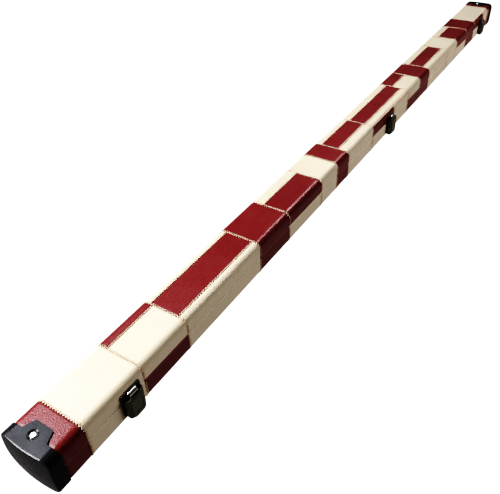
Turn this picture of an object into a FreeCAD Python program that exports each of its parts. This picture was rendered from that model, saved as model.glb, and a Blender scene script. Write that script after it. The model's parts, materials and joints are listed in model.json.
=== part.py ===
import FreeCAD, Part
import os
from FreeCAD import Vector

# Long patchwork-leather case for a one-piece cue, split along its length into a base and a hinged lid.
# Row frame: +X along the case from the near end to the far end, latches on the -Y side, hinges on the
# +Y side, +Z up. The origin is the bottom centre of everything, latches and hinges included, and z = 0
# is the plane the end caps rest on. The shapes are drawn with y = 0 in the middle of the case's section
# and moved by ROW_Y when they are saved. All sizes are in millimetres.

os.makedirs("parts", exist_ok=True)

# ---- overall size -----------------------------------------------------------------------------------
LENGTH = 1533.0            # over the domed ends
WIDTH = 67.0
HEIGHT = 54.0
CORNER_R = 10.6            # rounding of the long edges, measured on the end caps
CAP_PROUD = 1.2            # how far the caps stand out from the leather
LEATHER_T = 1.4            # thickness of the leather patches
PARTING_Z = 30.5           # height of the joint between base and lid
PARTING_GAP = 0.4
END_X = LENGTH / 2
CAP_DOME = 4.0             # how far the middle of an end face stands out from its rim
RIM_X = END_X - CAP_DOME
LID_Z0 = PARTING_Z + PARTING_GAP / 2
BASE_Z1 = PARTING_Z - PARTING_GAP / 2
BIG = 2000.0               # larger than the case, for half-space cuts

# ---- wooden core ------------------------------------------------------------------------------------
SKIN = CAP_PROUD + LEATHER_T
CORE_HALF = WIDTH / 2 - SKIN
CORE_Z0 = SKIN
CORE_Z1 = HEIGHT - SKIN
CORE_R = CORNER_R - SKIN
RAIL_T = 8.0               # thickness of the long rails
PANEL_T = 4.0              # thickness of the top and bottom boards
END_BLOCK = 12.0           # length of the blocks that close the ends
CAP_WALL = 3.0             # end wall of the caps at their rim, outside the core
CORE_END = RIM_X - CAP_WALL
INNER_HALF = CORE_HALF - RAIL_T
INNER_END = CORE_END - END_BLOCK

# ---- leather patches --------------------------------------------------------------------------------
LEATHER_HALF = CORE_HALF + LEATHER_T
LEATHER_Z0 = CORE_Z0 - LEATHER_T
LEATHER_Z1 = CORE_Z1 + LEATHER_T
LEATHER_R = CORE_R + LEATHER_T
SEAM_GAP = 0.5             # open line between two neighbouring patches

# Each band: start and end measured from the rim of the near cap, then the patches of the lid and of the
# base, listed from the latch side to the hinge side with the y of each seam between them. A patch given
# as (colour, x, colour) changes colour at a short seam across it.
BANDS = [
    (14.0, 44.0, ("red",), ("red",)),
    (44.0, 125.5, ("cream",), ("cream",)),
    (125.5, 200.5, ("cream", 16.0, "red"), ("red", -16.0, "cream")),
    (200.5, 356.5, ("cream", -20.5, "red", 20.5, "cream"), ("cream", -18.0, "red", 18.0, "cream")),
    (356.5, 434.0, ("red",), ("red",)),
    (434.0, 533.0, ("red", 11.3, "cream"), ("cream", 12.0, "red")),
    (533.0, 588.0, ("cream",), ("cream",)),
    (588.0, 629.5, ("red",), ("red",)),
    (629.5, 730.0, ("cream", -12.5, "red", 18.0, "cream"), ("cream", -15.0, "red", 15.0, "cream")),
    (730.0, 903.0, (("red", 826.0, "cream"), -29.5, "cream", -15.0, "red", 14.5, "cream"), ("cream",)),
    (903.0, 968.5, ("cream", 2.0, "red"), ("red", -4.0, "cream")),
    (968.5, 1025.5, ("red",), ("red",)),
    (1025.5, 1148.0, ("cream", -17.0, "red", 14.5, "cream"), ("cream", -16.0, "red", 16.0, "cream")),
    (1148.0, 1218.0, ("cream",), ("cream",)),
    (1218.0, 1297.0, ("red", 13.5, "cream"), ("cream", 12.0, "red")),
    (1297.0, 1364.0, ("red",), ("red",)),
    (1364.0, 1486.0, (("red", 1443.0, "cream"), -27.0, "cream"), ("cream",)),
    (1486.0, 1511.0, ("red",), ("red",)),
]

# ---- end caps ---------------------------------------------------------------------------------------
# Lengths are measured from the rim of the end face.
SKIRT = 14.0               # length of the cap around the case
TONGUE_END = 27.0          # tip of the shield tongue
TONGUE_HALF_ROOT = 17.5
TONGUE_HALF_TIP = 11.7
TONGUE_R = 2.5
CAP_DOME_R = 200.0         # sphere that forms the end face
CAP_EDGE_R = 2.0           # rounding between the end face and the sides
CAP_RIVET_X = 14.2
CAP_RIVET_Y = 1.5
CAP_RECESS_R = 5.9         # mouth of the dished recess around the rivet
CAP_RECESS_FLOOR_R = 4.4
CAP_RECESS_DEEP = 1.0
CAP_RIVET_R = 3.2
CAP_RIVET_TALL = 0.9

# ---- inside -----------------------------------------------------------------------------------------
LIP_T = 1.4                # locating lip on the inside of the base
LIP_CLEAR = 0.5            # between the lip and the lid's rails
LIP_TALL = 4.0             # above the parting line
CHANNEL_HALF = 15.5        # half width of the channel for the cue
CHANNEL_Z0 = 11.0          # top of the channel's floor pad
BOLSTER_Z1 = 29.6
BUFFER_LONG = 8.0          # foam block at each end of the channel
LID_PAD_Z0 = 41.0          # underside of the padding in the lid
SOFT_CLEAR = 0.2           # gap around padded pieces

# ---- hinges -----------------------------------------------------------------------------------------
HINGE_X = (-600.0, -200.0, 200.0, 600.0)
HINGE_LONG = 38.0
HINGE_LEAF_T = 1.0
HINGE_LEAF_TALL = 10.0
KNUCKLE_R = 2.4
KNUCKLE_OFF = 0.4          # knuckle to leather
KNUCKLE_GAP = 0.4          # between neighbouring knuckles
HINGE_PIN_R = 1.2
HINGE_BORE_R = 1.26
HINGE_PIN_OUT = 0.8
HINGE_Y = LEATHER_HALF + KNUCKLE_OFF + KNUCKLE_R
HINGE_RIVET_R = 1.5
HINGE_RIVET_TALL = 0.7
HINGE_RIVET_X = 12.0       # each side of the hinge's middle

# ---- latches ----------------------------------------------------------------------------------------
# Positions across a latch are given as "out", the distance out from the leather of the latch side.
LATCH_X = {"near": 103.4 - RIM_X, "middle": 806.0 - RIM_X, "far": 1421.5 - RIM_X}
PLATE_HALF = 14.0
PLATE_T = 1.0
PLATE_Z0 = 9.0
PLATE_Z1 = 29.6
PLATE_R = 6.0
STRIKE_Z0 = 31.4
STRIKE_Z1 = 44.2
STRIKE_R = 2.6
RIM_T = 0.6                # raised rim of the strike plate
RIM_WIDE = 1.1
KEEPER_HALF = 6.0
KEEPER_OUT = 2.6
KEEPER_Z0 = 37.0
KEEPER_Z1 = 39.0
LEVER_HALF = 12.4
LEVER_WALL = 1.1
LEVER_OUT = 10.0
LEVER_BEVEL = 3.6
LEVER_IN = 1.4
LEVER_Z0 = 6.5
LEVER_Z1 = 38.8
LEVER_FOOT_R = 8.0         # rounding of the lever's bottom corners
LEVER_MOUTH_OUT = 6.2
LEVER_MOUTH_HALF = 7.3     # slot in the lever's foot that lets the ears pass
PANEL_HALF = 6.4           # shallow panel pressed into the lever's front
PANEL_Z0 = 15.5
PANEL_Z1 = 32.5
PANEL_DEEP = 0.4
LEVER_PIN_OUT = 4.0
LEVER_PIN_Z = 9.2
LEVER_PIN_R = 1.2
LEVER_PIN_HALF = 10.2
LEVER_BORE_R = 1.26
EAR_HALF = 6.8             # outer face of the ears
EAR_T = 1.2
EAR_R = 2.3
EAR_TOP = 16.0
HOOK_PIN_OUT = 5.5
HOOK_PIN_Z = 20.0
HOOK_PIN_R = 1.0
HOOK_BORE_R = 1.06
HOOK_ARM_HALF = 5.3        # outer face of the hook's arms
HOOK_ARM_T = 1.4
HOOK_ARM_WIDE = 2.4
HOOK_EYE_R = 2.2
NOSE_HALF = 5.8
NOSE_IN = 3.2
NOSE_OUT = 6.9
NOSE_Z0 = 38.4
NOSE_Z1 = 43.4
NOSE_R = 2.8
PLATE_RIVET_R = 1.6
STRIKE_RIVET_R = 1.5
LATCH_RIVET_TALL = 0.6
PLATE_RIVET_Z = (14.0, 25.0)
STRIKE_RIVET_X = 10.8
STRIKE_RIVET_Z = 40.0

# ---- row frame --------------------------------------------------------------------------------------
FRONT_Y = LEATHER_HALF + LEVER_OUT
BACK_Y = HINGE_Y + KNUCKLE_R
ROW_Y = (FRONT_Y - BACK_Y) / 2

X_AXIS = Vector(1, 0, 0)
Y_AXIS = Vector(0, 1, 0)
Z_AXIS = Vector(0, 0, 1)


def box(x0, x1, y0, y1, z0, z1):
    return Part.makeBox(x1 - x0, y1 - y0, z1 - z0, Vector(x0, y0, z0))


def section_bar(x0, x1, half, z0, z1, radius):
    """Bar along X with a rounded rectangular section."""
    bar = box(x0, x1, -half, half, z0, z1)
    long_edges = [e for e in bar.Edges if abs(e.tangentAt(e.FirstParameter).dot(X_AXIS)) > 0.99]
    return bar.makeFillet(radius, long_edges)


def prism(points, direction):
    """Solid from a closed polygon, moved along direction."""
    wire = Part.makePolygon(points + [points[0]])
    return Part.Face(wire).extrude(direction)


def fillet_along(shape, axis, radius, keep):
    """Round the edges that run along axis and whose middle passes the keep test."""
    chosen = []
    for edge in shape.Edges:
        if abs(edge.tangentAt(edge.FirstParameter).dot(axis)) > 0.99 and keep(edge.CenterOfMass):
            chosen.append(edge)
    return shape.makeFillet(radius, chosen)


def group(shapes):
    return Part.makeCompound(shapes)


def save(node, shape):
    moved = shape.copy()
    moved.translate(Vector(0, ROW_Y, 0))
    moved.exportStep("parts/" + node + ".step")


# ---- wooden core ------------------------------------------------------------------------------------
core = section_bar(-CORE_END, CORE_END, CORE_HALF, CORE_Z0, CORE_Z1, CORE_R)

lid_front_rail = core.common(box(-CORE_END, CORE_END, -BIG, -INNER_HALF, LID_Z0, BIG))
lid_back_rail = core.common(box(-CORE_END, CORE_END, INNER_HALF, BIG, LID_Z0, BIG))
lid_top_board = box(-CORE_END, CORE_END, -INNER_HALF, INNER_HALF, CORE_Z1 - PANEL_T, CORE_Z1)
base_front_rail = core.common(box(-CORE_END, CORE_END, -BIG, -INNER_HALF, -BIG, BASE_Z1))
base_back_rail = core.common(box(-CORE_END, CORE_END, INNER_HALF, BIG, -BIG, BASE_Z1))
base_bottom_board = box(-CORE_END, CORE_END, -INNER_HALF, INNER_HALF, CORE_Z0, CORE_Z0 + PANEL_T)


def end_blocks(z0, z1):
    near = box(-CORE_END, -INNER_END, -INNER_HALF, INNER_HALF, z0, z1)
    far = box(INNER_END, CORE_END, -INNER_HALF, INNER_HALF, z0, z1)
    return group([near, far])


save("lid_front_rail", lid_front_rail)
save("lid_back_rail", lid_back_rail)
save("lid_top_board", lid_top_board)
save("lid_end_blocks", end_blocks(LID_Z0, CORE_Z1 - PANEL_T))
save("base_front_rail", base_front_rail)
save("base_back_rail", base_back_rail)
save("base_bottom_board", base_bottom_board)
save("base_end_blocks", end_blocks(CORE_Z0 + PANEL_T, BASE_Z1))


# ---- leather patches --------------------------------------------------------------------------------
def leather_patches(band_index, z0, z1):
    """Patches of the lid or the base, sorted by colour."""
    patches = {"red": [], "cream": []}
    for band in BANDS:
        x0 = band[0] - RIM_X + SEAM_GAP / 2
        x1 = band[1] - RIM_X - SEAM_GAP / 2
        outer = section_bar(x0, x1, LEATHER_HALF, LEATHER_Z0, LEATHER_Z1, LEATHER_R)
        inner = section_bar(x0 - 1, x1 + 1, CORE_HALF, CORE_Z0, CORE_Z1, CORE_R)
        ring = outer.cut(inner).common(box(x0, x1, -WIDTH, WIDTH, z0, z1))
        strips = band[band_index]
        colours = strips[0::2]
        seams = strips[1::2]
        starts = (-WIDTH,) + tuple(y + SEAM_GAP / 2 for y in seams)
        ends = tuple(y - SEAM_GAP / 2 for y in seams) + (WIDTH,)
        for colour, y0, y1 in zip(colours, starts, ends):
            if isinstance(colour, str):
                lengths = [(colour, x0, x1)]
            else:
                cut = colour[1] - RIM_X
                lengths = [(colour[0], x0, cut - SEAM_GAP / 2), (colour[2], cut + SEAM_GAP / 2, x1)]
            for shade, start, end in lengths:
                piece = ring.common(box(start, end, y0, y1, z0, z1))
                patches[shade].extend(piece.Solids)
    return patches


lid_leather = leather_patches(2, LID_Z0, HEIGHT)
base_leather = leather_patches(3, 0.0, BASE_Z1)
save("lid_red_patches", group(lid_leather["red"]))
save("lid_cream_patches", group(lid_leather["cream"]))
save("base_red_patches", group(base_leather["red"]))
save("base_cream_patches", group(base_leather["cream"]))


# ---- end caps ---------------------------------------------------------------------------------------
def far_cap():
    """Whole cap of the far end, before it is split at the parting line."""
    skirt_x = RIM_X - SKIRT
    body = section_bar(skirt_x, END_X, WIDTH / 2, 0.0, HEIGHT, CORNER_R)
    dome_middle = Vector(END_X - CAP_DOME_R, 0, HEIGHT / 2)
    dome = Part.makeSphere(CAP_DOME_R, dome_middle)
    dome.rotate(dome_middle, Z_AXIS, 180)
    body = body.common(dome)
    rim = [e for e in body.Edges if e.BoundBox.XMin > RIM_X - CAP_EDGE_R]
    cap = body.makeFillet(CAP_EDGE_R, rim)
    cap = cap.fuse(tongue(HEIGHT - CAP_PROUD + 0.05, HEIGHT))
    cap = cap.fuse(tongue(0.0, CAP_PROUD - 0.05))
    cap = cap.cut(section_bar(0.0, CORE_END, CORE_HALF, CORE_Z0, CORE_Z1, CORE_R))
    for z, direction in ((HEIGHT - CAP_RECESS_DEEP, Z_AXIS), (CAP_RECESS_DEEP, -Z_AXIS)):
        foot = Vector(RIM_X - CAP_RIVET_X, CAP_RIVET_Y, z)
        recess = Part.makeCone(CAP_RECESS_FLOOR_R, CAP_RECESS_R, CAP_RECESS_DEEP, foot, direction)
        cap = cap.cut(recess)
    return cap.removeSplitter()


def tongue(z0, z1):
    root_x = RIM_X - SKIRT + 1.0
    tip_x = RIM_X - TONGUE_END
    outline = prism([Vector(root_x, -TONGUE_HALF_ROOT, z0), Vector(tip_x, -TONGUE_HALF_TIP, z0),
                     Vector(tip_x, TONGUE_HALF_TIP, z0), Vector(root_x, TONGUE_HALF_ROOT, z0)],
                    Vector(0, 0, z1 - z0))
    return fillet_along(outline, Z_AXIS, TONGUE_R, lambda c: c.x < tip_x + 1)


def mirror_x(shape):
    return shape.mirror(Vector(0, 0, 0), X_AXIS)


def lid_part(shape):
    return shape.common(box(-BIG, BIG, -WIDTH, WIDTH, LID_Z0, HEIGHT + 10))


def base_part(shape):
    return shape.common(box(-BIG, BIG, -WIDTH, WIDTH, -10, BASE_Z1))


def domed_rivet(radius, tall, foot, direction):
    """Low domed rivet head standing on foot."""
    head = Part.makeCylinder(radius, tall, foot, direction)
    ends = [e for e in head.Edges if e.Closed and (e.CenterOfMass - foot).dot(direction) > tall / 2]
    return head.makeFillet(tall * 0.8, ends)


cap = far_cap()
save("far_lid_cap", lid_part(cap))
save("far_base_cap", base_part(cap))
save("near_lid_cap", lid_part(mirror_x(cap)))
save("near_base_cap", base_part(mirror_x(cap)))

rivet_x = RIM_X - CAP_RIVET_X
lid_heads = []
base_heads = []
for x in (-rivet_x, rivet_x):
    lid_foot = Vector(x, CAP_RIVET_Y, HEIGHT - CAP_RECESS_DEEP)
    base_foot = Vector(x, CAP_RIVET_Y, CAP_RECESS_DEEP)
    lid_heads.append(domed_rivet(CAP_RIVET_R, CAP_RIVET_TALL, lid_foot, Z_AXIS))
    base_heads.append(domed_rivet(CAP_RIVET_R, CAP_RIVET_TALL, base_foot, -Z_AXIS))
save("lid_cap_rivets", group(lid_heads))
save("base_cap_rivets", group(base_heads))

# ---- inside -----------------------------------------------------------------------------------------
lip_outer = INNER_HALF - LIP_CLEAR
lip_inner = lip_outer - LIP_T
floor_z = CORE_Z0 + PANEL_T
lip_z1 = PARTING_Z + LIP_TALL
front_lip = box(-INNER_END, INNER_END, -lip_outer, -lip_inner, floor_z, lip_z1)
back_lip = box(-INNER_END, INNER_END, lip_inner, lip_outer, floor_z, lip_z1)
save("front_locating_lip", front_lip)
save("back_locating_lip", back_lip)

soft_end = INNER_END - SOFT_CLEAR
bolster_y1 = lip_inner - SOFT_CLEAR
bolster_z0 = floor_z + SOFT_CLEAR
front_bolster = box(-soft_end, soft_end, -bolster_y1, -CHANNEL_HALF, bolster_z0, BOLSTER_Z1)
back_bolster = box(-soft_end, soft_end, CHANNEL_HALF, bolster_y1, bolster_z0, BOLSTER_Z1)
save("front_bolster", fillet_along(front_bolster, X_AXIS, 2.0, lambda c: c.z > BOLSTER_Z1 - 1))
save("back_bolster", fillet_along(back_bolster, X_AXIS, 2.0, lambda c: c.z > BOLSTER_Z1 - 1))

buffer_x0 = soft_end - BUFFER_LONG
pad_half = CHANNEL_HALF - SOFT_CLEAR
pad_end = buffer_x0 - SOFT_CLEAR
save("channel_floor_pad", box(-pad_end, pad_end, -pad_half, pad_half, bolster_z0, CHANNEL_Z0))
near_buffer = box(-soft_end, -buffer_x0, -pad_half, pad_half, bolster_z0, BOLSTER_Z1)
far_buffer = box(buffer_x0, soft_end, -pad_half, pad_half, bolster_z0, BOLSTER_Z1)
save("end_buffers", group([near_buffer, far_buffer]))

lid_pad_half = INNER_HALF - SOFT_CLEAR
lid_pad_z1 = CORE_Z1 - PANEL_T - SOFT_CLEAR
save("lid_pad", box(-soft_end, soft_end, -lid_pad_half, lid_pad_half, LID_PAD_Z0, lid_pad_z1))


# ---- hinges -----------------------------------------------------------------------------------------
def knuckle(x0, x1, leaf_side):
    """Knuckle and the web that joins it to its leaf; leaf_side is +1 for the lid, -1 for the base."""
    barrel = Part.makeCylinder(KNUCKLE_R, x1 - x0, Vector(x0, HINGE_Y, PARTING_Z), X_AXIS)
    web_z = sorted((PARTING_Z, PARTING_Z + leaf_side * (KNUCKLE_R + 0.5)))
    web = box(x0, x1, LEATHER_HALF, LEATHER_HALF + KNUCKLE_R, web_z[0], web_z[1])
    bore_r = HINGE_BORE_R if leaf_side > 0 else HINGE_PIN_R
    bore = Part.makeCylinder(bore_r, x1 - x0 + 2, Vector(x0 - 1, HINGE_Y, PARTING_Z), X_AXIS)
    return barrel.fuse(web).cut(bore)


def hinge(x):
    """Lid leaf, base leaf, pin, lid rivets and base rivets of one hinge."""
    x0 = x - HINGE_LONG / 2
    x1 = x + HINGE_LONG / 2
    third = HINGE_LONG / 3
    leaf_y1 = LEATHER_HALF + HINGE_LEAF_T
    lid_z0 = PARTING_Z + KNUCKLE_R + 0.1
    base_z1 = PARTING_Z - KNUCKLE_R - 0.1
    lid_leaf = box(x0, x1, LEATHER_HALF, leaf_y1, lid_z0, lid_z0 + HINGE_LEAF_TALL)
    base_leaf = box(x0, x1, LEATHER_HALF, leaf_y1, base_z1 - HINGE_LEAF_TALL, base_z1)
    lid_leaf = lid_leaf.fuse(knuckle(x0 + third + KNUCKLE_GAP / 2, x1 - third - KNUCKLE_GAP / 2, 1))
    base_leaf = base_leaf.fuse(knuckle(x0, x0 + third - KNUCKLE_GAP / 2, -1))
    base_leaf = base_leaf.fuse(knuckle(x1 - third + KNUCKLE_GAP / 2, x1, -1))
    pin_long = HINGE_LONG + 2 * HINGE_PIN_OUT
    pin = Part.makeCylinder(HINGE_PIN_R, pin_long, Vector(x0 - HINGE_PIN_OUT, HINGE_Y, PARTING_Z), X_AXIS)
    lid_rivets = []
    base_rivets = []
    for dx in (-HINGE_RIVET_X, HINGE_RIVET_X):
        lid_foot = Vector(x + dx, leaf_y1, lid_z0 + 0.6 * HINGE_LEAF_TALL)
        base_foot = Vector(x + dx, leaf_y1, base_z1 - 0.6 * HINGE_LEAF_TALL)
        lid_rivets.append(domed_rivet(HINGE_RIVET_R, HINGE_RIVET_TALL, lid_foot, Y_AXIS))
        base_rivets.append(domed_rivet(HINGE_RIVET_R, HINGE_RIVET_TALL, base_foot, Y_AXIS))
    return lid_leaf.removeSplitter(), base_leaf.removeSplitter(), pin, lid_rivets, base_rivets


hinges = [hinge(x) for x in HINGE_X]
save("hinge_lid_leaves", group([h[0] for h in hinges]))
save("hinge_base_leaves", group([h[1] for h in hinges]))
save("hinge_pins", group([h[2] for h in hinges]))
save("hinge_lid_rivets", group([r for h in hinges for r in h[3]]))
save("hinge_base_rivets", group([r for h in hinges for r in h[4]]))


# ---- latches ----------------------------------------------------------------------------------------
def at(x, out, z):
    """Point given by its distance out from the leather of the latch side."""
    return Vector(x, -LEATHER_HALF - out, z)


def out_box(x0, x1, out0, out1, z0, z1):
    return box(x0, x1, -LEATHER_HALF - out1, -LEATHER_HALF - out0, z0, z1)


def x_pin(x0, x1, out, z, radius):
    return Part.makeCylinder(radius, x1 - x0, at(x0, out, z), X_AXIS)


def body_plate(x):
    """Plate on the base with the two ears that carry the lever's pin."""
    plate = out_box(x - PLATE_HALF, x + PLATE_HALF, 0, PLATE_T, PLATE_Z0, PLATE_Z1)
    plate = fillet_along(plate, Y_AXIS, PLATE_R, lambda c: c.z < PLATE_Z0 + 1)
    for side in (-1, 1):
        x0 = x + side * (EAR_HALF - EAR_T / 2) - EAR_T / 2
        foot = out_box(x0, x0 + EAR_T, 0, LEVER_PIN_OUT, LEVER_PIN_Z - 0.4, EAR_TOP - 3)
        top_points = [at(x0, 0, EAR_TOP), at(x0, 0, LEVER_PIN_Z),
                      at(x0, LEVER_PIN_OUT + 1.5, LEVER_PIN_Z + 1)]
        top = prism(top_points, Vector(EAR_T, 0, 0))
        eye = x_pin(x0, x0 + EAR_T, LEVER_PIN_OUT, LEVER_PIN_Z, EAR_R)
        plate = plate.fuse(foot).fuse(top).fuse(eye)
    return plate.cut(x_pin(x - 20, x + 20, LEVER_PIN_OUT, LEVER_PIN_Z, LEVER_PIN_R)).removeSplitter()


def bevelled_block(x, half, out0, out1, z0, z1, foot_r, bevel):
    """Block with rounded bottom corners whose front edge is bevelled along the sides and the bottom."""
    block = out_box(x - half, x + half, out0, out1, z0, z1)
    block = fillet_along(block, Y_AXIS, foot_r, lambda c: c.z < z0 + 1)
    front_y = -LEATHER_HALF - out1
    front = [e for e in block.Edges if e.BoundBox.YMax < front_y + 0.1 and e.BoundBox.ZMin < z1 - 1]
    return block.makeChamfer(bevel, front)


def lever(x):
    """Hollow cover that is the latch's hand lever, open towards the case."""
    profile = [at(x, LEVER_IN, 37.2), at(x, 8.2, LEVER_Z1), at(x, LEVER_OUT + 0.1, 34.8),
               at(x, LEVER_OUT + 0.1, 0), at(x, LEVER_PIN_OUT - 0.5, 0),
               at(x, LEVER_PIN_OUT - 0.5, LEVER_Z0), at(x, LEVER_IN, 8.2)]
    inner_out = LEVER_OUT - LEVER_WALL
    hollow = [at(x, 0, 40.0), at(x, 7.0, 40.0), at(x, 7.3, 37.2), at(x, inner_out + 0.1, 34.5),
              at(x, inner_out + 0.1, 0), at(x, 0, 0)]
    wide = Vector(2 * LEVER_HALF, 0, 0)
    outside = bevelled_block(x, LEVER_HALF, LEVER_IN, LEVER_OUT, LEVER_Z0, LEVER_Z1,
                             LEVER_FOOT_R, LEVER_BEVEL)
    outside = outside.common(prism([p - Vector(LEVER_HALF, 0, 0) for p in profile], wide))
    inner_bevel = LEVER_BEVEL - LEVER_WALL * (2 - 2 ** 0.5)
    inside = bevelled_block(x, LEVER_HALF - LEVER_WALL, -1, inner_out, LEVER_Z0 + LEVER_WALL,
                            LEVER_Z1 + 2, LEVER_FOOT_R - LEVER_WALL, inner_bevel)
    mouth = out_box(x - LEVER_MOUTH_HALF, x + LEVER_MOUTH_HALF, -1, LEVER_MOUTH_OUT, 0, EAR_TOP)
    inside = inside.common(prism([p - Vector(LEVER_HALF, 0, 0) for p in hollow], wide)).fuse(mouth)
    cover = outside.cut(inside)
    panel = out_box(x - PANEL_HALF, x + PANEL_HALF, LEVER_OUT - PANEL_DEEP, LEVER_OUT + 1,
                    PANEL_Z0, PANEL_Z1)
    cover = cover.cut(fillet_along(panel, Y_AXIS, 1.5, lambda c: True))
    cover = cover.cut(x_pin(x - 20, x + 20, LEVER_PIN_OUT, LEVER_PIN_Z, LEVER_BORE_R))
    return cover.cut(x_pin(x - 20, x + 20, HOOK_PIN_OUT, HOOK_PIN_Z, HOOK_PIN_R)).removeSplitter()


def draw_hook(x):
    """Hook with a rolled nose that the lever pulls down; its two arms turn on a pin in the lever."""
    nose = out_box(x - NOSE_HALF, x + NOSE_HALF, NOSE_IN, NOSE_OUT, NOSE_Z0, NOSE_Z1)
    nose_y = -LEATHER_HALF - NOSE_OUT
    hook = fillet_along(nose, X_AXIS, NOSE_R, lambda c: c.z > NOSE_Z1 - 1 and c.y < nose_y + 1)
    for side in (-1, 1):
        x0 = x + side * (HOOK_ARM_HALF - HOOK_ARM_T / 2) - HOOK_ARM_T / 2
        arm = out_box(x0, x0 + HOOK_ARM_T, HOOK_PIN_OUT - HOOK_ARM_WIDE / 2,
                      HOOK_PIN_OUT + HOOK_ARM_WIDE / 2, HOOK_PIN_Z, NOSE_Z0 + 1)
        hook = hook.fuse(arm).fuse(x_pin(x0, x0 + HOOK_ARM_T, HOOK_PIN_OUT, HOOK_PIN_Z, HOOK_EYE_R))
    bore = x_pin(x - 20, x + 20, HOOK_PIN_OUT, HOOK_PIN_Z, HOOK_BORE_R)
    return hook.cut(bore).removeSplitter()


def strike(x):
    """Plate on the lid with the keeper that the hook pulls on."""
    plate = out_box(x - PLATE_HALF, x + PLATE_HALF, 0, PLATE_T + RIM_T, STRIKE_Z0, STRIKE_Z1)
    plate = fillet_along(plate, Y_AXIS, STRIKE_R, lambda c: c.z > STRIKE_Z1 - 1)
    inner_half = PLATE_HALF - RIM_WIDE
    pocket = out_box(x - inner_half, x + inner_half, PLATE_T, PLATE_T + 1,
                     STRIKE_Z0 - 1, STRIKE_Z1 - RIM_WIDE)
    plate = plate.cut(pocket)
    keeper = out_box(x - KEEPER_HALF, x + KEEPER_HALF, PLATE_T / 2, KEEPER_OUT, KEEPER_Z0, KEEPER_Z1)
    return plate.fuse(keeper).removeSplitter()


plate_rivets = []
strike_rivets = []
for name, x in LATCH_X.items():
    save(name + "_latch_plate", body_plate(x))
    save(name + "_latch_lever", lever(x))
    save(name + "_latch_hook", draw_hook(x))
    save(name + "_latch_strike", strike(x))
    lever_pin = x_pin(x - LEVER_PIN_HALF, x + LEVER_PIN_HALF, LEVER_PIN_OUT, LEVER_PIN_Z, LEVER_PIN_R)
    hook_pin = x_pin(x - LEVER_HALF, x + LEVER_HALF, HOOK_PIN_OUT, HOOK_PIN_Z, HOOK_PIN_R)
    save(name + "_lever_pin", lever_pin)
    save(name + "_hook_pin", hook_pin)
    for z in PLATE_RIVET_Z:
        plate_rivets.append(domed_rivet(PLATE_RIVET_R, LATCH_RIVET_TALL, at(x, PLATE_T, z), -Y_AXIS))
    for dx in (-STRIKE_RIVET_X, STRIKE_RIVET_X):
        foot = at(x + dx, PLATE_T, STRIKE_RIVET_Z)
        strike_rivets.append(domed_rivet(STRIKE_RIVET_R, LATCH_RIVET_TALL, foot, -Y_AXIS))
save("latch_plate_rivets", group(plate_rivets))
save("strike_rivets", group(strike_rivets))
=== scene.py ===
import bpy
import json
import math
import numpy as np
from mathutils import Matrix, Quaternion, Vector, noise


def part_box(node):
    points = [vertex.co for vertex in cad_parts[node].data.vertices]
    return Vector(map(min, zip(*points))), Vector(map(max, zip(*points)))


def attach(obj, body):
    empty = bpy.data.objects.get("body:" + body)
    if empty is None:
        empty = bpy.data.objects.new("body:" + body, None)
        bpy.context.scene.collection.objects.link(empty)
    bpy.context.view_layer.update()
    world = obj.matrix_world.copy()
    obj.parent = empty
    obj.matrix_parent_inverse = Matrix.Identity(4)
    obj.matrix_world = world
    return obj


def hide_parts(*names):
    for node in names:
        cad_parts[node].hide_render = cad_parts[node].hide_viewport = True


# Patchwork-leather cue case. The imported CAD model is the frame; the leather, its stitching and the padded
# lining are built here. Everything is in metres.

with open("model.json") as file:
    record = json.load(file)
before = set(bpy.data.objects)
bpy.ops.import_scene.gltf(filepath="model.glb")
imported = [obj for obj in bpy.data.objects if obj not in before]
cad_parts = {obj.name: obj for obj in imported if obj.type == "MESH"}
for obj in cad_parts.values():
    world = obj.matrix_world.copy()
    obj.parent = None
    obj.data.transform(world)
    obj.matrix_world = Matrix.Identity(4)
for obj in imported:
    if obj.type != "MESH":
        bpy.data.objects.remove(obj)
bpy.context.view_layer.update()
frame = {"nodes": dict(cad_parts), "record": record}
nodes = frame["nodes"]
slots = {s["node"]: s["material_slot"] for s in frame["record"]["subparts"]}

# ---- camera -----------------------------------------------------------------------------------------
CAMERA_AT = (-0.8752, -0.3306, 0.5002)
CAMERA_TURN = (50.969, 1.985, -57.549)     # degrees, XYZ
CAMERA_LENS = 39.97                        # millimetres on a 36 mm sensor

camera_data = bpy.data.cameras.new("camera")
camera_data.lens = CAMERA_LENS
camera_data.sensor_width = 36.0
camera_data.clip_start = 0.01
camera = bpy.data.objects.new("camera", camera_data)
camera.location = CAMERA_AT
camera.rotation_euler = [math.radians(a) for a in CAMERA_TURN]
bpy.context.scene.collection.objects.link(camera)
bpy.context.scene.camera = camera


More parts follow.
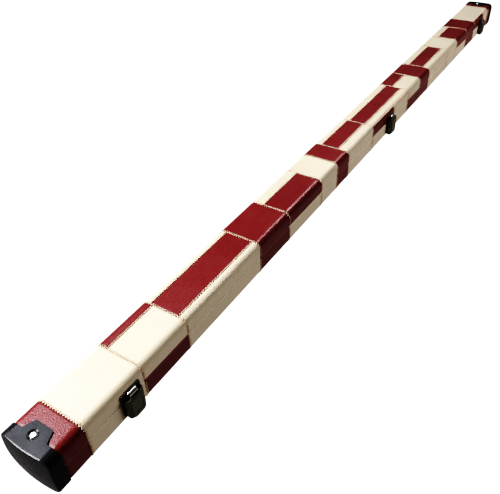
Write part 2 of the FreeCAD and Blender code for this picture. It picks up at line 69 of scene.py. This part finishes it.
# ---- materials --------------------------------------------------------------------------------------
class Nodes:
    """Small helper that adds nodes to a material and joins them."""

    def __init__(self, name):
        self.material = bpy.data.materials.new(name)
        self.material.use_nodes = True
        self.tree = self.material.node_tree
        self.shader = self.tree.nodes["Principled BSDF"]
        self.coords = self.tree.nodes.new("ShaderNodeTexCoord").outputs["Object"]

    def add(self, kind, inputs=(), **settings):
        node = self.tree.nodes.new(kind)
        for key, value in settings.items():
            setattr(node, key, value)
        for key, value in dict(inputs).items():
            self.set(node.inputs[key], value)
        return node

    def set(self, socket, value):
        if isinstance(value, bpy.types.NodeSocket):
            self.tree.links.new(value, socket)
        else:
            socket.default_value = value

    def shade(self, **values):
        for key, value in values.items():
            self.set(self.shader.inputs[key.replace("_", " ")], value)

    def stretched(self, scale):
        return self.add("ShaderNodeMapping", {"Vector": self.coords, "Scale": scale}).outputs["Vector"]

    def noise(self, scale, detail=3.0, roughness=0.55, coords=None):
        node = self.add("ShaderNodeTexNoise", {"Vector": coords or self.coords, "Scale": scale,
                                               "Detail": detail, "Roughness": roughness})
        return node.outputs["Fac"]

    def cells(self, scale, smooth=0.6, coords=None):
        node = self.add("ShaderNodeTexVoronoi", {"Vector": coords or self.coords, "Scale": scale},
                        feature="SMOOTH_F1")
        node.inputs["Smoothness"].default_value = smooth
        return node.outputs["Distance"]

    def remap(self, value, low, high, out_low, out_high):
        node = self.add("ShaderNodeMapRange", {"Value": value, "From Min": low, "From Max": high,
                                               "To Min": out_low, "To Max": out_high})
        return node.outputs["Result"]

    def mix(self, factor, a, b, blend="MIX"):
        node = self.add("ShaderNodeMix", data_type="RGBA", blend_type=blend)
        self.set(node.inputs[0], factor)
        self.set(node.inputs[6], a)
        self.set(node.inputs[7], b)
        return node.outputs[2]

    def math(self, operation, a, b):
        node = self.add("ShaderNodeMath", operation=operation)
        self.set(node.inputs[0], a)
        self.set(node.inputs[1], b)
        return node.outputs[0]

    def attribute(self, name):
        return self.add("ShaderNodeAttribute", attribute_name=name).outputs["Fac"]

    def bump(self, height, distance, strength=1.0, under=None):
        node = self.add("ShaderNodeBump", {"Height": height, "Distance": distance, "Strength": strength})
        if under is not None:
            self.set(node.inputs["Normal"], under)
        return node.outputs["Normal"]


def rgb(r, g, b):
    return (r, g, b, 1.0)


def leather(name, light, dark, painted_seam_shade, wear_and_painted_highlight, rough_low, rough_high):
    """Pebbled leather: tone drifts across the hide, the grain's valleys are darker, the seams are darker
    with painted shade, and the base's edge at the parting line is lighter with a painted highlight."""
    m = Nodes(name)
    drift = m.remap(m.noise(9.0, 4.0), 0.35, 0.68, 0.0, 1.0)
    tone = m.mix(drift, light, dark)
    grain = m.cells(620.0)
    valley = m.remap(grain, 0.35, 0.8, 0.0, 0.45)
    tone = m.mix(valley, tone, dark)
    seam = m.attribute("seam")
    # painted shade: the leather is darkened beside each seam, where it dips
    tone = m.mix(m.math("MULTIPLY", seam, 0.65), tone, painted_seam_shade)
    # painted highlight: the base's edge at the parting line is lightened
    tone = m.mix(m.math("MULTIPLY", m.attribute("wear_and_painted_highlight"), 0.85), tone, wear_and_painted_highlight)
    pores = m.noise(2600.0, 2.0)
    crease = m.noise(95.0, 5.0, 0.6, m.stretched((0.35, 1.0, 1.0)))
    normal = m.bump(crease, 0.0012, 0.35)
    normal = m.bump(m.math("MULTIPLY", grain, -1.0), 0.00032, 0.55, normal)
    normal = m.bump(pores, 0.00008, 0.5, normal)
    rough = m.remap(m.noise(30.0, 5.0), 0.3, 0.7, rough_low, rough_high)
    rough = m.math("ADD", rough, m.math("MULTIPLY", seam, 0.15))
    m.shade(Base_Color=tone, Roughness=rough, Normal=normal)
    m.shader.inputs["Specular IOR Level"].default_value = 0.5
    return m.material


def moulded(name, base, wear_and_painted_highlight, rough_low, rough_high, gloss=0.5):
    """Moulded plastic or enamel: fine texture, faint scuffs, uneven gloss."""
    m = Nodes(name)
    scuffs = m.remap(m.noise(140.0, 6.0, 0.7, m.stretched((1.0, 0.25, 1.0))), 0.58, 0.78, 0.0, 0.5)
    m.shade(Base_Color=m.mix(scuffs, base, wear_and_painted_highlight),
            Roughness=m.remap(m.noise(60.0, 4.0), 0.3, 0.7, rough_low, rough_high),
            Normal=m.bump(m.noise(1500.0, 2.0), 0.00005, 0.6))
    m.shader.inputs["Specular IOR Level"].default_value = gloss
    return m.material


def plated(name, light, dark, rough_low, rough_high):
    """Bright or brushed metal with fine lines and small dull spots."""
    m = Nodes(name)
    lines = m.noise(900.0, 4.0, 0.6, m.stretched((0.08, 1.0, 1.0)))
    spots = m.remap(m.noise(220.0, 4.0), 0.55, 0.8, 0.0, 1.0)
    m.shade(Base_Color=m.mix(spots, light, dark),
            Roughness=m.remap(lines, 0.3, 0.7, rough_low, rough_high),
            Normal=m.bump(lines, 0.00003, 0.4))
    m.shader.inputs["Metallic"].default_value = 1.0
    return m.material


def thread_material():
    m = Nodes("waxed_thread")
    fibre = m.noise(1800.0, 3.0, 0.6, m.stretched((1.0, 1.0, 0.4)))
    tone = m.mix(m.remap(fibre, 0.3, 0.7, 0.0, 1.0), rgb(0.66, 0.49, 0.36), rgb(0.80, 0.65, 0.50))
    m.shade(Base_Color=tone, Roughness=0.6, Normal=m.bump(fibre, 0.0002, 0.8))
    return m.material


def plush_material():
    m = Nodes("black_plush")
    pile = m.noise(2200.0, 4.0, 0.7)
    brushed = m.noise(22.0, 3.0, 0.5, m.stretched((0.3, 1.0, 1.0)))
    tone = m.mix(m.remap(brushed, 0.35, 0.65, 0.0, 1.0),
                 rgb(0.020, 0.020, 0.023), rgb(0.052, 0.052, 0.057))
    m.shade(Base_Color=tone, Roughness=0.95, Normal=m.bump(pile, 0.0006, 0.9))
    m.shader.inputs["Sheen Weight"].default_value = 0.6
    m.shader.inputs["Sheen Roughness"].default_value = 0.4
    return m.material


def board_material(name, light, dark):
    m = Nodes(name)
    figure = m.noise(55.0, 5.0, 0.6, m.stretched((0.06, 1.0, 1.0)))
    tone = m.mix(m.remap(figure, 0.35, 0.65, 0.0, 1.0), light, dark)
    m.shade(Base_Color=tone,
            Roughness=m.remap(figure, 0.3, 0.7, 0.55, 0.8),
            Normal=m.bump(figure, 0.0003, 0.5))
    return m.material


MATERIALS = {
    # leather: light and dark tones, painted shade beside seams, painted highlight on the base's parting
    # edge, roughness range
    "red_leather": leather("red_leather", rgb(0.152, 0.026, 0.027), rgb(0.126, 0.019, 0.020),
                           rgb(0.10, 0.013, 0.013), rgb(0.30, 0.14, 0.13), 0.27, 0.38),
    "cream_leather": leather("cream_leather", rgb(0.66, 0.58, 0.44), rgb(0.60, 0.52, 0.38),
                             rgb(0.60, 0.50, 0.37), rgb(0.78, 0.70, 0.56), 0.42, 0.54),
    "black_plastic": moulded("black_plastic", rgb(0.020, 0.020, 0.022), rgb(0.030, 0.030, 0.033), 0.22, 0.32,
                             gloss=0.19),
    "latch_black": moulded("latch_black", rgb(0.095, 0.090, 0.062), rgb(0.15, 0.14, 0.10), 0.24, 0.36),
    "latch_rivets": moulded("latch_rivets", rgb(0.02, 0.019, 0.018), rgb(0.08, 0.075, 0.07), 0.3, 0.45),
    "hinge_steel": moulded("hinge_steel", rgb(0.014, 0.0135, 0.0125), rgb(0.06, 0.055, 0.05), 0.3, 0.45),
    "nickel": plated("nickel", rgb(0.86, 0.84, 0.80), rgb(0.62, 0.59, 0.54), 0.16, 0.3),
    "pin_steel": plated("pin_steel", rgb(0.56, 0.55, 0.54), rgb(0.38, 0.37, 0.35), 0.25, 0.4),
    "wood_core": board_material("wood_core", rgb(0.035, 0.028, 0.022), rgb(0.018, 0.015, 0.012)),
    "lip_board": board_material("lip_board", rgb(0.03, 0.027, 0.024), rgb(0.016, 0.014, 0.013)),
    "plush_lining": plush_material(),
    "thread": thread_material(),
}

BEVEL_ANGLE = 28              # degrees; sharper edges than this are rounded
WELD_DISTANCE = 0.00001
BEVEL = {"black_plastic": 0.0006, "latch_black": 0.00025, "hinge_steel": 0.0002, "nickel": 0.0002}

for name, obj in nodes.items():
    slot = slots[name]
    obj.data.materials.clear()
    obj.data.materials.append(MATERIALS[slot])
    if slot in BEVEL and not name.endswith("rivets"):
        weld = obj.modifiers.new("weld", "WELD")
        weld.merge_threshold = WELD_DISTANCE
        bevel = obj.modifiers.new("bevel", "BEVEL")
        bevel.width = BEVEL[slot]
        bevel.segments = 3
        bevel.limit_method = "ANGLE"
        bevel.angle_limit = math.radians(BEVEL_ANGLE)
        bevel.harden_normals = True


def add_mesh(name, verts, faces, material, body):
    """Smooth-shaded mesh in one material that rides on a body."""
    mesh = bpy.data.meshes.new(name)
    mesh.from_pydata(verts, [], faces)
    mesh.validate()
    mesh.materials.append(MATERIALS[material])
    mesh.polygons.foreach_set("use_smooth", [True] * len(mesh.polygons))
    obj = bpy.data.objects.new(name, mesh)
    bpy.context.scene.collection.objects.link(obj)
    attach(obj, body)
    return obj


# ---- leather patches --------------------------------------------------------------------------------
LEATHER_T = 0.0014
LEATHER_R = 0.0094          # rounding of the leather's long edges
SEAM_DROP = 0.0006          # how far a patch dips at a seam
SEAM_REACH = 0.0024
SEAM_SHADE_REACH = 0.0042         # painted shade: darker strip beside a seam, where the leather dips
SKIRT_DROP = LEATHER_T * 0.98   # where a patch's edge is turned in
OPEN_DROP = 0.00125         # rounding where the leather turns in at the parting line
OPEN_REACH = 0.0034
EDGE_HIGHLIGHT_REACH = 0.0028         # painted highlight strip on the base's edge at the parting line
WRINKLE = 0.00016
EDGE_STEPS = (0.0, 0.0003, 0.0007, 0.0012, 0.0018, 0.0026, 0.0038)
FLAT_STEP = 0.005
LEAST_STEP = 0.00025
ARC_STEP = 0.0016
MATCH = 0.0004              # two lengths closer than this are the same place
JOIN = 0.0015               # patches closer than this along the section are neighbours


class Section:
    """Outer surface of the leather of the lid or base, unrolled: s runs from the front opening round
    to the back opening, and drop is the depth below the surface."""

    def __init__(self, half_name, sign):
        boxes = [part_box(half_name + "_" + colour + "_patches") for colour in ("red", "cream")]
        low = Vector([min(b[0][i] for b in boxes) for i in range(3)])
        high = Vector([max(b[1][i] for b in boxes) for i in range(3)])
        self.sign = sign
        self.y_mid = (low.y + high.y) / 2
        self.half = (high.y - low.y) / 2
        self.z_open = low.z if sign > 0 else high.z
        self.z_far = high.z if sign > 0 else low.z
        self.side = abs(self.z_far - self.z_open) - LEATHER_R
        self.arc = LEATHER_R * math.pi / 2
        self.flat = 2 * (self.half - LEATHER_R)
        self.total = 2 * self.side + 2 * self.arc + self.flat

    def s_of_y(self, y):
        across = y - self.y_mid
        inner = self.half - LEATHER_R
        if abs(across) <= inner:
            return self.side + self.arc + across + inner
        angle = math.acos(min(1.0, (abs(across) - inner) / LEATHER_R))
        s = self.side + LEATHER_R * angle if abs(across) < self.half - MATCH / 4 else 0.0
        return s if across < 0 else self.total - s

    def point(self, x, s, drop):
        back = s > self.total / 2
        t = self.total - s if back else s
        inner = self.half - LEATHER_R
        if t < self.side:
            y, z = -self.half + drop, self.z_open + self.sign * t
        elif t < self.side + self.arc:
            angle = (t - self.side) / LEATHER_R
            y = -inner - (LEATHER_R - drop) * math.cos(angle)
            z = self.z_far - self.sign * LEATHER_R + self.sign * (LEATHER_R - drop) * math.sin(angle)
        else:
            y, z = -inner + t - self.side - self.arc, self.z_far - self.sign * drop
        return Vector((x, self.y_mid + (-y if back else y), z))


def islands(obj):
    """Boxes of the separate solids of a CAD node: (x0, x1, y0, y1)."""
    mesh = obj.data
    co = np.array([v.co for v in mesh.vertices])
    keys = {}
    same = [keys.setdefault(tuple(np.round(c, 6)), i) for i, c in enumerate(co)]
    parent = list(range(len(co)))

    def root(i):
        while parent[i] != i:
            parent[i] = parent[parent[i]]
            i = parent[i]
        return i

    for i, j in enumerate(same):
        parent[root(i)] = root(j)
    for edge in mesh.edges:
        parent[root(edge.vertices[0])] = root(edge.vertices[1])
    found = {}
    for i in range(len(co)):
        found.setdefault(root(i), []).append(i)
    groups = [co[g] for g in found.values()]
    return [(g[:, 0].min(), g[:, 0].max(), g[:, 1].min(), g[:, 1].max()) for g in groups]


def lines(start, end, dense=()):
    """Grid lines from start to end: close together near both ends and inside the dense ranges."""
    marks = [start + e for e in EDGE_STEPS] + [end - e for e in EDGE_STEPS]
    inner_start, inner_end = start + EDGE_STEPS[-1], end - EDGE_STEPS[-1]
    count = max(1, round((inner_end - inner_start) / FLAT_STEP))
    marks += [inner_start + (inner_end - inner_start) * i / count for i in range(1, count)]
    for low, high in dense:
        n = round((high - low) / ARC_STEP)
        marks += [low + (high - low) * i / n for i in range(n + 1)]
    kept = [start]
    for mark in sorted(m for m in marks if start < m < end):
        if mark - kept[-1] > LEAST_STEP and end - mark > LEAST_STEP:
            kept.append(mark)
    return kept + [end]


def ease(value):
    value = min(1.0, max(0.0, value))
    return value * value * (3 - 2 * value)


def patch(section, box, verts, faces, seams, wear_and_painted_highlight):
    """Adds one leather patch to the lists: its grid of points, dipped at seams and rounded at the opening,
    inside a skirt of points turned in under its edge."""
    x0, x1, y0, y1 = box
    s0, s1 = section.s_of_y(y0), section.s_of_y(y1)
    arcs = ((section.side, section.side + section.arc),
            (section.total - section.side - section.arc, section.total - section.side))
    xs = lines(x0, x1)
    ss = lines(s0, s1, arcs)
    open_start, open_end = s0 < MATCH, s1 > section.total - MATCH
    base = len(verts)
    grid_x = [xs[0]] + xs + [xs[-1]]
    grid_s = [ss[0]] + ss + [ss[-1]]
    for i, x in enumerate(grid_x):
        for j, s in enumerate(grid_s):
            to_seam = min(x - x0, x1 - x)
            if not open_start:
                to_seam = min(to_seam, s - s0)
            if not open_end:
                to_seam = min(to_seam, s1 - s)
            to_open = min(s, section.total - s)
            drop = SEAM_DROP * (1 - ease(to_seam / SEAM_REACH))
            if to_open < OPEN_REACH:
                drop += OPEN_DROP * (1 - math.sqrt(1 - (1 - to_open / OPEN_REACH) ** 2))
            drop += WRINKLE * (0.5 + 0.5 * noise.noise(Vector((x * 38, s * 60, section.sign * 3.0))))
            if i in (0, len(grid_x) - 1) or j in (0, len(grid_s) - 1):
                drop = SKIRT_DROP
            verts.append(section.point(x, s, min(drop, SKIRT_DROP)))
            # how strongly the painted seam shade falls on this point
            seams.append(1 - ease(to_seam / SEAM_SHADE_REACH))
            # painted highlight along the base's edge at the parting line
            wear_and_painted_highlight.append(1 - ease(to_open / EDGE_HIGHLIGHT_REACH) if section.sign < 0 else 0.0)
    rows, columns = len(grid_x), len(grid_s)
    for i in range(rows - 1):
        for j in range(columns - 1):
            a = base + i * columns + j
            quad = (a, a + columns, a + columns + 1, a + 1)
            faces.append(quad if section.sign < 0 else quad[::-1])


# ---- stitching --------------------------------------------------------------------------------------
PITCH = 0.0035               # one whole zigzag
THREAD_R = 0.00033
RING = 6
CROSS_HALF = 0.0016          # half width of the zigzag on seams round the case
ALONG_HALF = 0.0011          # and on seams along the case
END_MARGIN = 0.0022
# share of a leg, depth of the thread's centre below the leather
LEG = ((0.0, 0.0005), (0.14, -0.0002), (0.5, -0.00032), (0.86, -0.0002))


def zigzag(section, place, length, half_width, verts, faces):
    """Thread that zigzags over a seam. place(along, across) gives the (x, s) of a point near the seam."""
    legs = max(2, round(length / (PITCH / 2)))
    step = length / legs
    path = []
    for i in range(legs):
        side = 1 if i % 2 else -1
        for share, depth in LEG:
            x, s = place((i + share) * step, side * half_width * (1 - 2 * share))
            path.append((x, s, depth))
    x, s = place(length, half_width * (-1 if legs % 2 == 0 else 1))
    path.append((x, s, LEG[0][1]))
    points = [section.point(x, s, d) for x, s, d in path]
    for k, (x, s, depth) in enumerate(path):
        ahead = points[min(k + 1, len(points) - 1)] - points[max(k - 1, 0)]
        out = (section.point(x, s, 0.0) - section.point(x, s, 0.001)).normalized()
        beside = ahead.cross(out).normalized()
        base = len(verts)
        for r in range(RING):
            angle = 2 * math.pi * r / RING
            verts.append(points[k] + THREAD_R * (math.cos(angle) * beside + 0.8 * math.sin(angle) * out))
        if k:
            for r in range(RING):
                n = (r + 1) % RING
                faces.append((base - RING + r, base - RING + n, base + n, base + r))
        else:
            faces.append(tuple(base + r for r in reversed(range(RING))))
        if k == len(path) - 1:
            faces.append(tuple(base + r for r in range(RING)))


def cross_seams(section, boxes):
    """Seams across the case as (x, first s, last s). Neighbouring patches that start at one x share one."""
    starts = sorted((round(b[0], 4), section.s_of_y(b[2]), section.s_of_y(b[3])) for b in boxes)
    seams = []
    for x, s0, s1 in starts:
        if seams and x - seams[-1][0] < MATCH and s0 - seams[-1][2] < JOIN:
            seams[-1][2] = s1
        elif x - starts[0][0] > MATCH:
            seams.append([x, s0, s1])
    return seams


for half_name, sign in (("lid", 1), ("base", -1)):
    section = Section(half_name, sign)
    boxes = []
    for colour in ("red", "cream"):
        node = half_name + "_" + colour + "_patches"
        found = islands(nodes[node])
        verts, faces, seams, wear_and_painted_highlight = [], [], [], []
        for box in found:
            patch(section, box, verts, faces, seams, wear_and_painted_highlight)
        piece = add_mesh(half_name + "_" + colour + "_leather", verts, faces, colour + "_leather", half_name)
        for label, values in (("seam", seams), ("wear_and_painted_highlight", wear_and_painted_highlight)):
            attribute = piece.data.attributes.new(label, "FLOAT", "POINT")
            attribute.data.foreach_set("value", values)
        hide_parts(node)
        boxes += found
    verts, faces = [], []
    for x, s0, s1 in cross_seams(section, boxes):
        start = s0 + (END_MARGIN if s0 < MATCH else 0.0)
        end = s1 - (END_MARGIN if s1 > section.total - MATCH else 0.0)
        zigzag(section, lambda along, across, x=x, start=start: (x + across, start + along),
               end - start, CROSS_HALF, verts, faces)
    for x0, x1, y0, y1 in boxes:
        s = section.s_of_y(y0)
        if s > MATCH:
            zigzag(section, lambda along, across, x0=x0, s=s: (x0 + END_MARGIN + along, s + across),
                   x1 - x0 - 2 * END_MARGIN, ALONG_HALF, verts, faces)
    thread = add_mesh(half_name + "_stitching", verts, faces, "thread", half_name)


# ---- padded lining ----------------------------------------------------------------------------------
PAD_EDGE_R = 0.0022
PAD_STEP = 0.009             # spacing of a pad's points along the case
PAD_CROWN = 0.0012
CHANNEL_CROWN = 0.0008
BUFFER_LONG = 0.008


def cushion(name, node, low, high, body, crown, faces_up=1):
    """Long foam pad covered in plush: edges rounded, its open face crowned and gently uneven."""
    low, high = Vector(low), Vector(high)
    size = high - low
    radius = min(PAD_EDGE_R, size.y * 0.35, size.z * 0.35)
    nx = max(6, min(160, round(size.x / PAD_STEP)))
    ny, nz = 8, 6
    verts, faces, index = [], [], {}

    def vertex(i, j, k):
        key = (i, j, k)
        if key not in index:
            u, v, w = i / nx, j / ny, k / nz
            p = Vector((low.x + size.x * u, low.y + size.y * v, low.z + size.z * w))
            inner_low = low + Vector((radius,) * 3)
            inner_high = high - Vector((radius,) * 3)
            core = Vector([min(max(p[a], inner_low[a]), inner_high[a]) for a in range(3)])
            away = p - core
            if away.length > 1e-9:
                p = core + away.normalized() * min(away.length, radius)
            open_face = (w - 0.5) * 2 * faces_up
            if open_face > 0:
                swell = math.sin(math.pi * v) * min(1.0, 12 * u, 12 * (1 - u))
                p.z -= faces_up * crown * open_face * (1 - swell)
                uneven = 0.5 + 0.5 * noise.noise(Vector((p.x * 24, p.y * 40, 1.7)))
                p.z -= faces_up * crown * 0.25 * open_face * uneven
            index[key] = len(verts)
            verts.append(p)
        return index[key]

    def side(n1, n2, place, flip):
        for a in range(n1):
            for b in range(n2):
                quad = [vertex(*place(a, b)), vertex(*place(a + 1, b)),
                        vertex(*place(a + 1, b + 1)), vertex(*place(a, b + 1))]
                faces.append(quad[::-1] if flip else quad)

    side(nx, ny, lambda a, b: (a, b, nz), False)
    side(nx, ny, lambda a, b: (a, b, 0), True)
    side(nx, nz, lambda a, b: (a, 0, b), False)
    side(nx, nz, lambda a, b: (a, ny, b), True)
    side(ny, nz, lambda a, b: (0, a, b), True)
    side(ny, nz, lambda a, b: (nx, a, b), False)
    piece = add_mesh(name, verts, faces, "plush_lining", body)
    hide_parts(node)


for node, crown in (("front_bolster", PAD_CROWN), ("back_bolster", PAD_CROWN),
                    ("channel_floor_pad", CHANNEL_CROWN)):
    low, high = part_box(node)
    cushion(node + "_plush", node, low, high, "base", crown)
low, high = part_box("lid_pad")
cushion("lid_pad_plush", "lid_pad", low, high, "lid", PAD_CROWN, faces_up=-1)
low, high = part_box("end_buffers")
near_end = (low.x + BUFFER_LONG, high.y, high.z)
far_start = (high.x - BUFFER_LONG, low.y, low.z)
cushion("near_buffer_plush", "end_buffers", low, near_end, "base", PAD_CROWN)
cushion("far_buffer_plush", "end_buffers", far_start, high, "base", PAD_CROWN)


# ---- stage and light --------------------------------------------------------------------------------
FLOOR_R = 30.0
BACKDROP_R = 29.0
STAGE_GLOW = 1.6


def white_surface(name, strength):
    m = Nodes(name)
    paper = m.remap(m.noise(3.0, 2.0), 0.3, 0.7, 0.985, 1.0)
    m.shade(Base_Color=rgb(0.0, 0.0, 0.0), Roughness=1.0,
            Emission_Color=m.mix(paper, rgb(0.96, 0.96, 0.96), rgb(1.0, 1.0, 1.0)))
    m.shader.inputs["Specular IOR Level"].default_value = 0.0
    m.shader.inputs["Emission Strength"].default_value = strength
    return m.material


def camera_only(obj):
    """Seen by the camera but sends no light to the case."""
    obj.visible_diffuse = False
    obj.visible_glossy = False
    obj.visible_transmission = False
    obj.visible_shadow = False


bpy.ops.mesh.primitive_circle_add(vertices=96, radius=FLOOR_R, fill_type="NGON", location=(0, 0, 0))
floor = bpy.context.object
floor.name = "floor"
floor.data.materials.append(white_surface("studio_floor", STAGE_GLOW))
camera_only(floor)

bpy.ops.mesh.primitive_uv_sphere_add(segments=64, ring_count=32, radius=BACKDROP_R, location=(0, 0, 0))
backdrop = bpy.context.object
backdrop.name = "backdrop"
backdrop.data.materials.append(white_surface("studio_backdrop", STAGE_GLOW))
camera_only(backdrop)


def softbox(name, at, toward, size, radiance, colour=(1.0, 1.0, 1.0), diffuse=True, glossy=True, roll=0.0):
    """Rectangular light of a given radiance, turned by roll degrees about its aim. It can be kept out of
    the diffuse or the mirrored light."""
    data = bpy.data.lights.new(name, "AREA")
    data.shape = "RECTANGLE"
    data.size, data.size_y = size
    data.energy = radiance * math.pi * size[0] * size[1]
    data.color = colour
    light = bpy.data.objects.new(name, data)
    light.location = at
    aim = (Vector(toward) - Vector(at)).to_track_quat("-Z", "Y")
    light.rotation_euler = (aim @ Quaternion((0.0, 0.0, 1.0), math.radians(roll))).to_euler()
    light.visible_diffuse = diffuse
    light.visible_glossy = glossy
    bpy.context.scene.collection.objects.link(light)


softbox("back_softbox", (-0.95, 1.25, 1.5), (-0.80, 0.0, 0.05), (1.6, 0.45), 46.0, glossy=False)
softbox("front_softbox", (0.9, -1.6, 0.5), (0.2, 0.0, 0.03), (1.6, 0.5), 8.6,
        (1.0, 0.94, 0.95), glossy=False)
softbox("mirror_softbox", (-0.55, 1.05, 1.5), (-0.75, 0.0, 0.05), (0.5, 0.6), 12.5,
        (0.9, 0.93, 1.0), diffuse=False)
softbox("latch_glint", (0.04, 1.05, 1.5), (-0.66, 0.0, 0.05), (0.3, 0.5), 4.0, diffuse=False)
softbox("cap_strip", (-1.83, 1.03, 1.08), (-0.76, 0.0, 0.05), (0.4, 2.2), 62.0, diffuse=False, roll=25)
softbox("edge_strip", (1.25, 0.04, 1.67), (-0.27, -0.02, 0.05), (0.24, 0.76), 34.0,
        (1.0, 0.92, 0.93), diffuse=False)
softbox("end_softbox", (-2.4, 0.45, 0.35), (-0.77, 0.0, 0.03), (0.6, 0.6), 26.0,
        (0.96, 0.98, 1.0), glossy=False)

# the pale table glows from below more than the dim room does from above
GROUND_GLOW = 0.28
SKY_GLOW = 0.03
FADE_FROM, FADE_TO = -0.1, 0.15    # height of the direction, -1 straight down to 1 straight up
world = bpy.data.worlds.new("world")
world.use_nodes = True
bpy.context.scene.world = world
sky = world.node_tree.nodes
direction = sky.new("ShaderNodeSeparateXYZ")
world.node_tree.links.new(sky.new("ShaderNodeTexCoord").outputs["Generated"], direction.inputs[0])
fade = sky.new("ShaderNodeMapRange")
fade.inputs["From Min"].default_value = FADE_FROM
fade.inputs["From Max"].default_value = FADE_TO
fade.inputs["To Min"].default_value = GROUND_GLOW
fade.inputs["To Max"].default_value = SKY_GLOW
world.node_tree.links.new(direction.outputs["Z"], fade.inputs["Value"])
world.node_tree.links.new(fade.outputs["Result"], sky["Background"].inputs["Strength"])
sky["Background"].inputs["Color"].default_value = rgb(1.0, 0.94, 0.90)

# ---- tone curve: a contrasty print, with a soft shoulder --------------------------------------------
CURVE_WHITE = 1.4
# scene level, level shown
TONES = ((0.03, 0.004), (0.07, 0.018), (0.12, 0.062), (0.19, 0.155), (0.29, 0.285), (0.5, 0.53),
         (0.82, 0.79), (1.1, 0.94))
view = bpy.context.scene.view_settings
view.view_transform = "Standard"
view.look = "None"
view.use_curve_mapping = True
view.curve_mapping.white_level = (CURVE_WHITE, CURVE_WHITE, CURVE_WHITE)
tone_curve = view.curve_mapping.curves[3]
for level, shown in TONES:
    tone_curve.points.new(level / CURVE_WHITE, shown)
view.curve_mapping.update()
